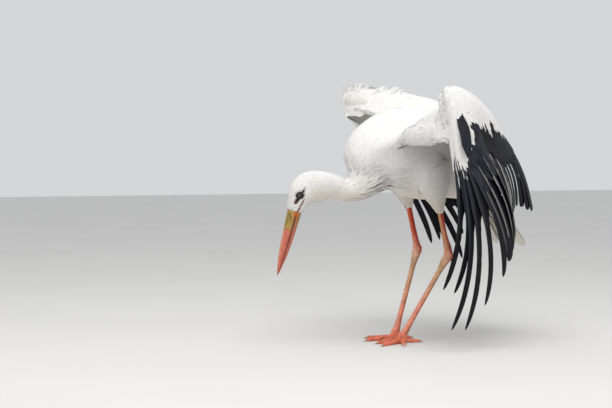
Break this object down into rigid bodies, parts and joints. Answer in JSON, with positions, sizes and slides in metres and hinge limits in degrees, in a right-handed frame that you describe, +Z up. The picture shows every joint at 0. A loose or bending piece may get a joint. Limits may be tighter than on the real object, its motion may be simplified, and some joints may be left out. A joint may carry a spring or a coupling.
{
  "type": "standing white stork model",
  "caption": "Life-size still model of a white stork, bent forward with its wings half open, standing on its own toes.",
  "frame": {"origin": "middle of the bounding box's underside, on the floor between and a little behind the feet", "axes": "+Z up, -X the way the bill points, -Y the bird's left side"},
  "size_m": [0.647, 0.5808, 0.6134],
  "materials": {
    "plumage": "soft white contour feathers, warm grey in the shade",
    "flight": "black flight feathers with a slight blue gloss",
    "bill": "satin horn, orange red, olive towards the base",
    "leg": "scaly skin, coral red with pale scutes",
    "claw": "pale blunt horn",
    "eye": "wet dark brown"
  },
  "bodies": {
    "root": {"bill_lower": "bill", "bill_upper": "bill", "claw_left_hind": "claw", "claw_left_inner": "claw", "claw_left_middle": "claw", "claw_left_outer": "claw", "claw_right_hind": "claw", "claw_right_inner": "claw", "claw_right_middle": "claw", "claw_right_outer": "claw", "eye_left": "eye", "eye_right": "eye", "foot_left": "leg", "foot_right": "leg", "head": "plumage", "neck": "plumage", "shank_left": "leg", "shank_right": "leg", "tail": "plumage", "tarsus_left": "leg", "tarsus_right": "leg", "thigh_left": "plumage", "thigh_right": "plumage", "trunk": "plumage", "wing_left_alula": "flight", "wing_left_arm": "plumage", "wing_left_hand": "plumage", "wing_left_primaries": "flight", "wing_left_secondaries": "flight", "wing_right_alula": "flight", "wing_right_arm": "plumage", "wing_right_hand": "plumage", "wing_right_primaries": "flight", "wing_right_secondaries": "flight"}
  },
  "joints": []
}
